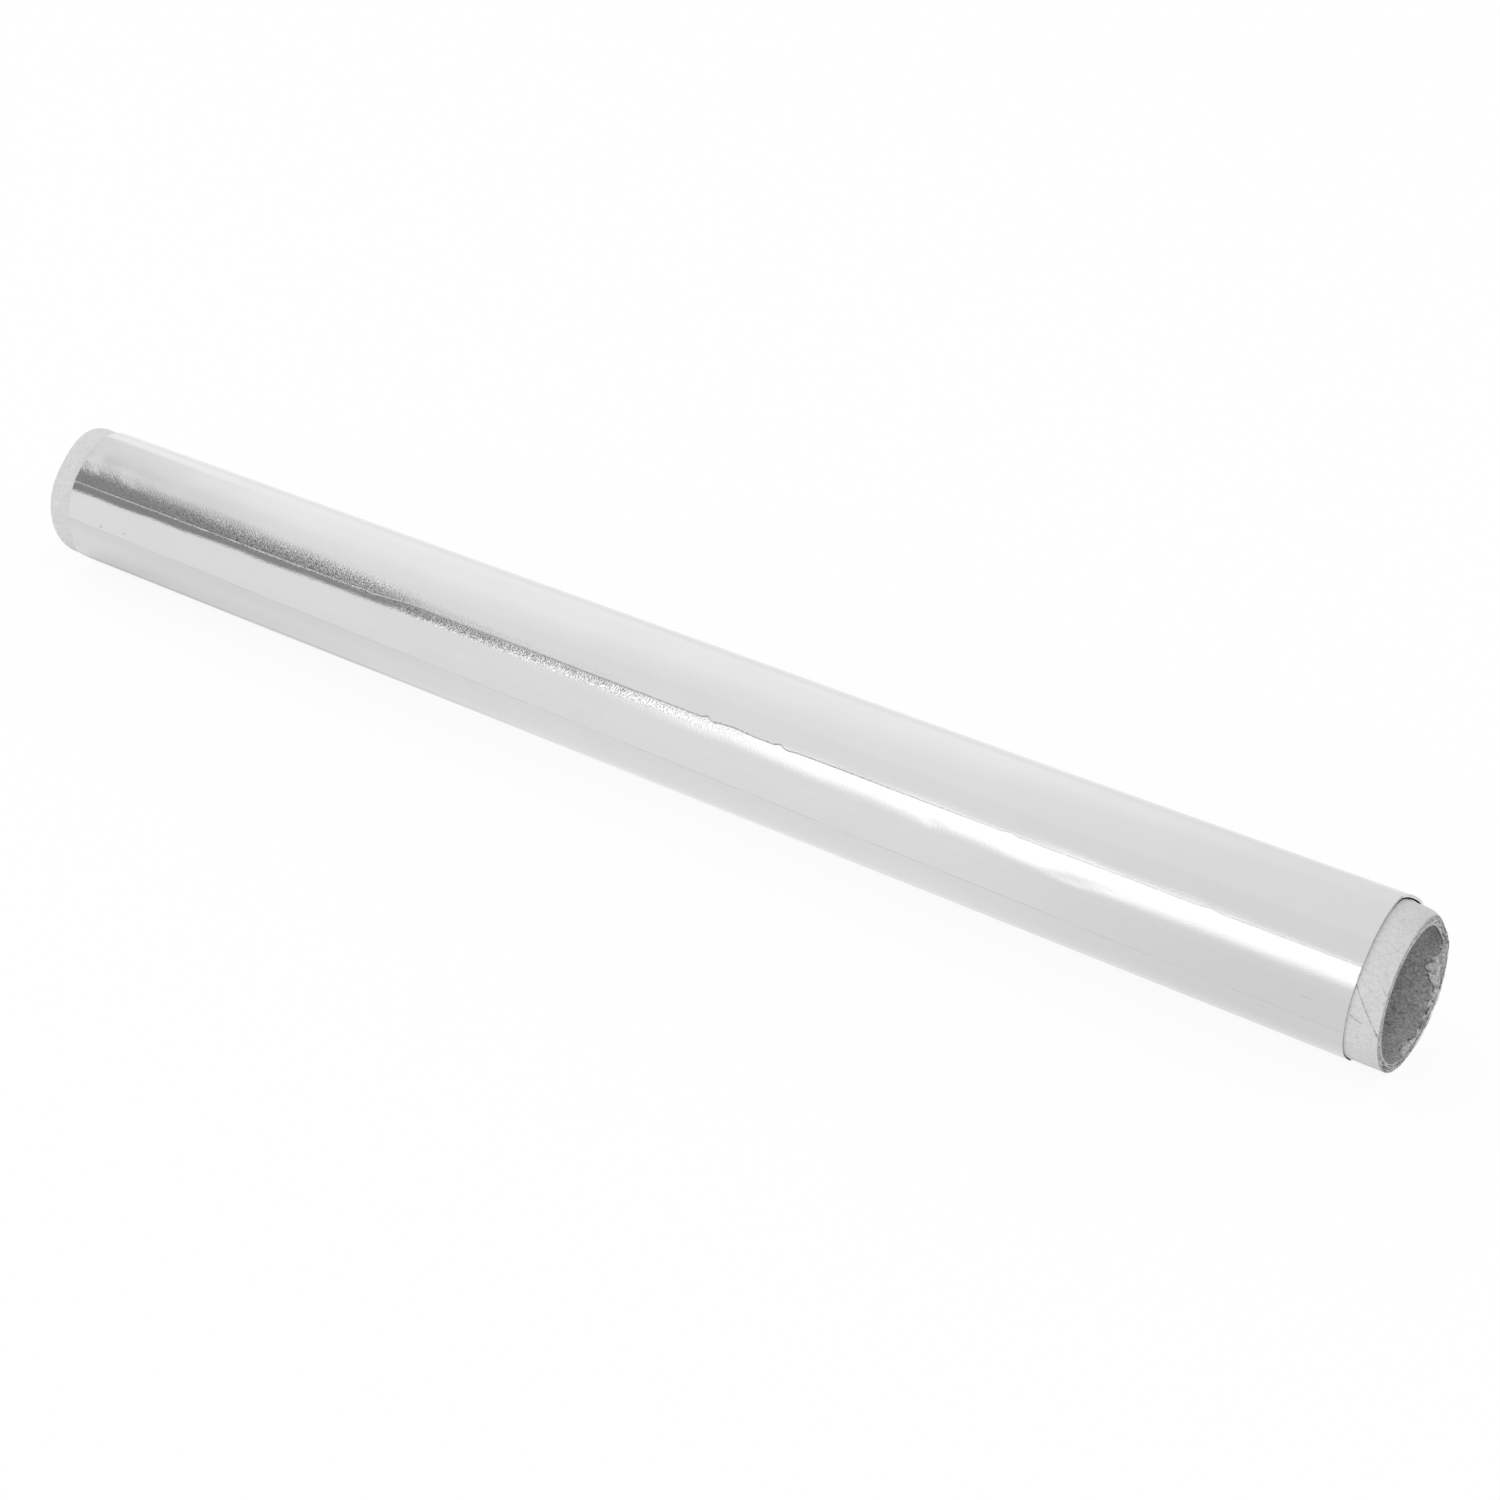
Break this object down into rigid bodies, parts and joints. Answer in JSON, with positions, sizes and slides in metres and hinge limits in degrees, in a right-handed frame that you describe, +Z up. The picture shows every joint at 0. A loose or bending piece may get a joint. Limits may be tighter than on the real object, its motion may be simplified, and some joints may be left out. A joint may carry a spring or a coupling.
{
  "type": "aluminium foil roll",
  "caption": "Household aluminium foil wound on a spiral paper core that stands out past the foil at both ends; outer turns slightly loose, one core end frayed.",
  "frame": {"origin": "on the core's axis, midway along the core", "axes": "+X along the roll towards the frayed end of the core, +Z up with the roll lying on the flat spot of its foil"},
  "size_m": [0.3142, 0.0293, 0.0292],
  "materials": {
    "foil": "bright rolled foil",
    "core_paper": "matte uncoated grey-white paper"
  },
  "bodies": {
    "root": {"core_tube": "core_paper", "foil_roll": "foil"}
  },
  "joints": []
}
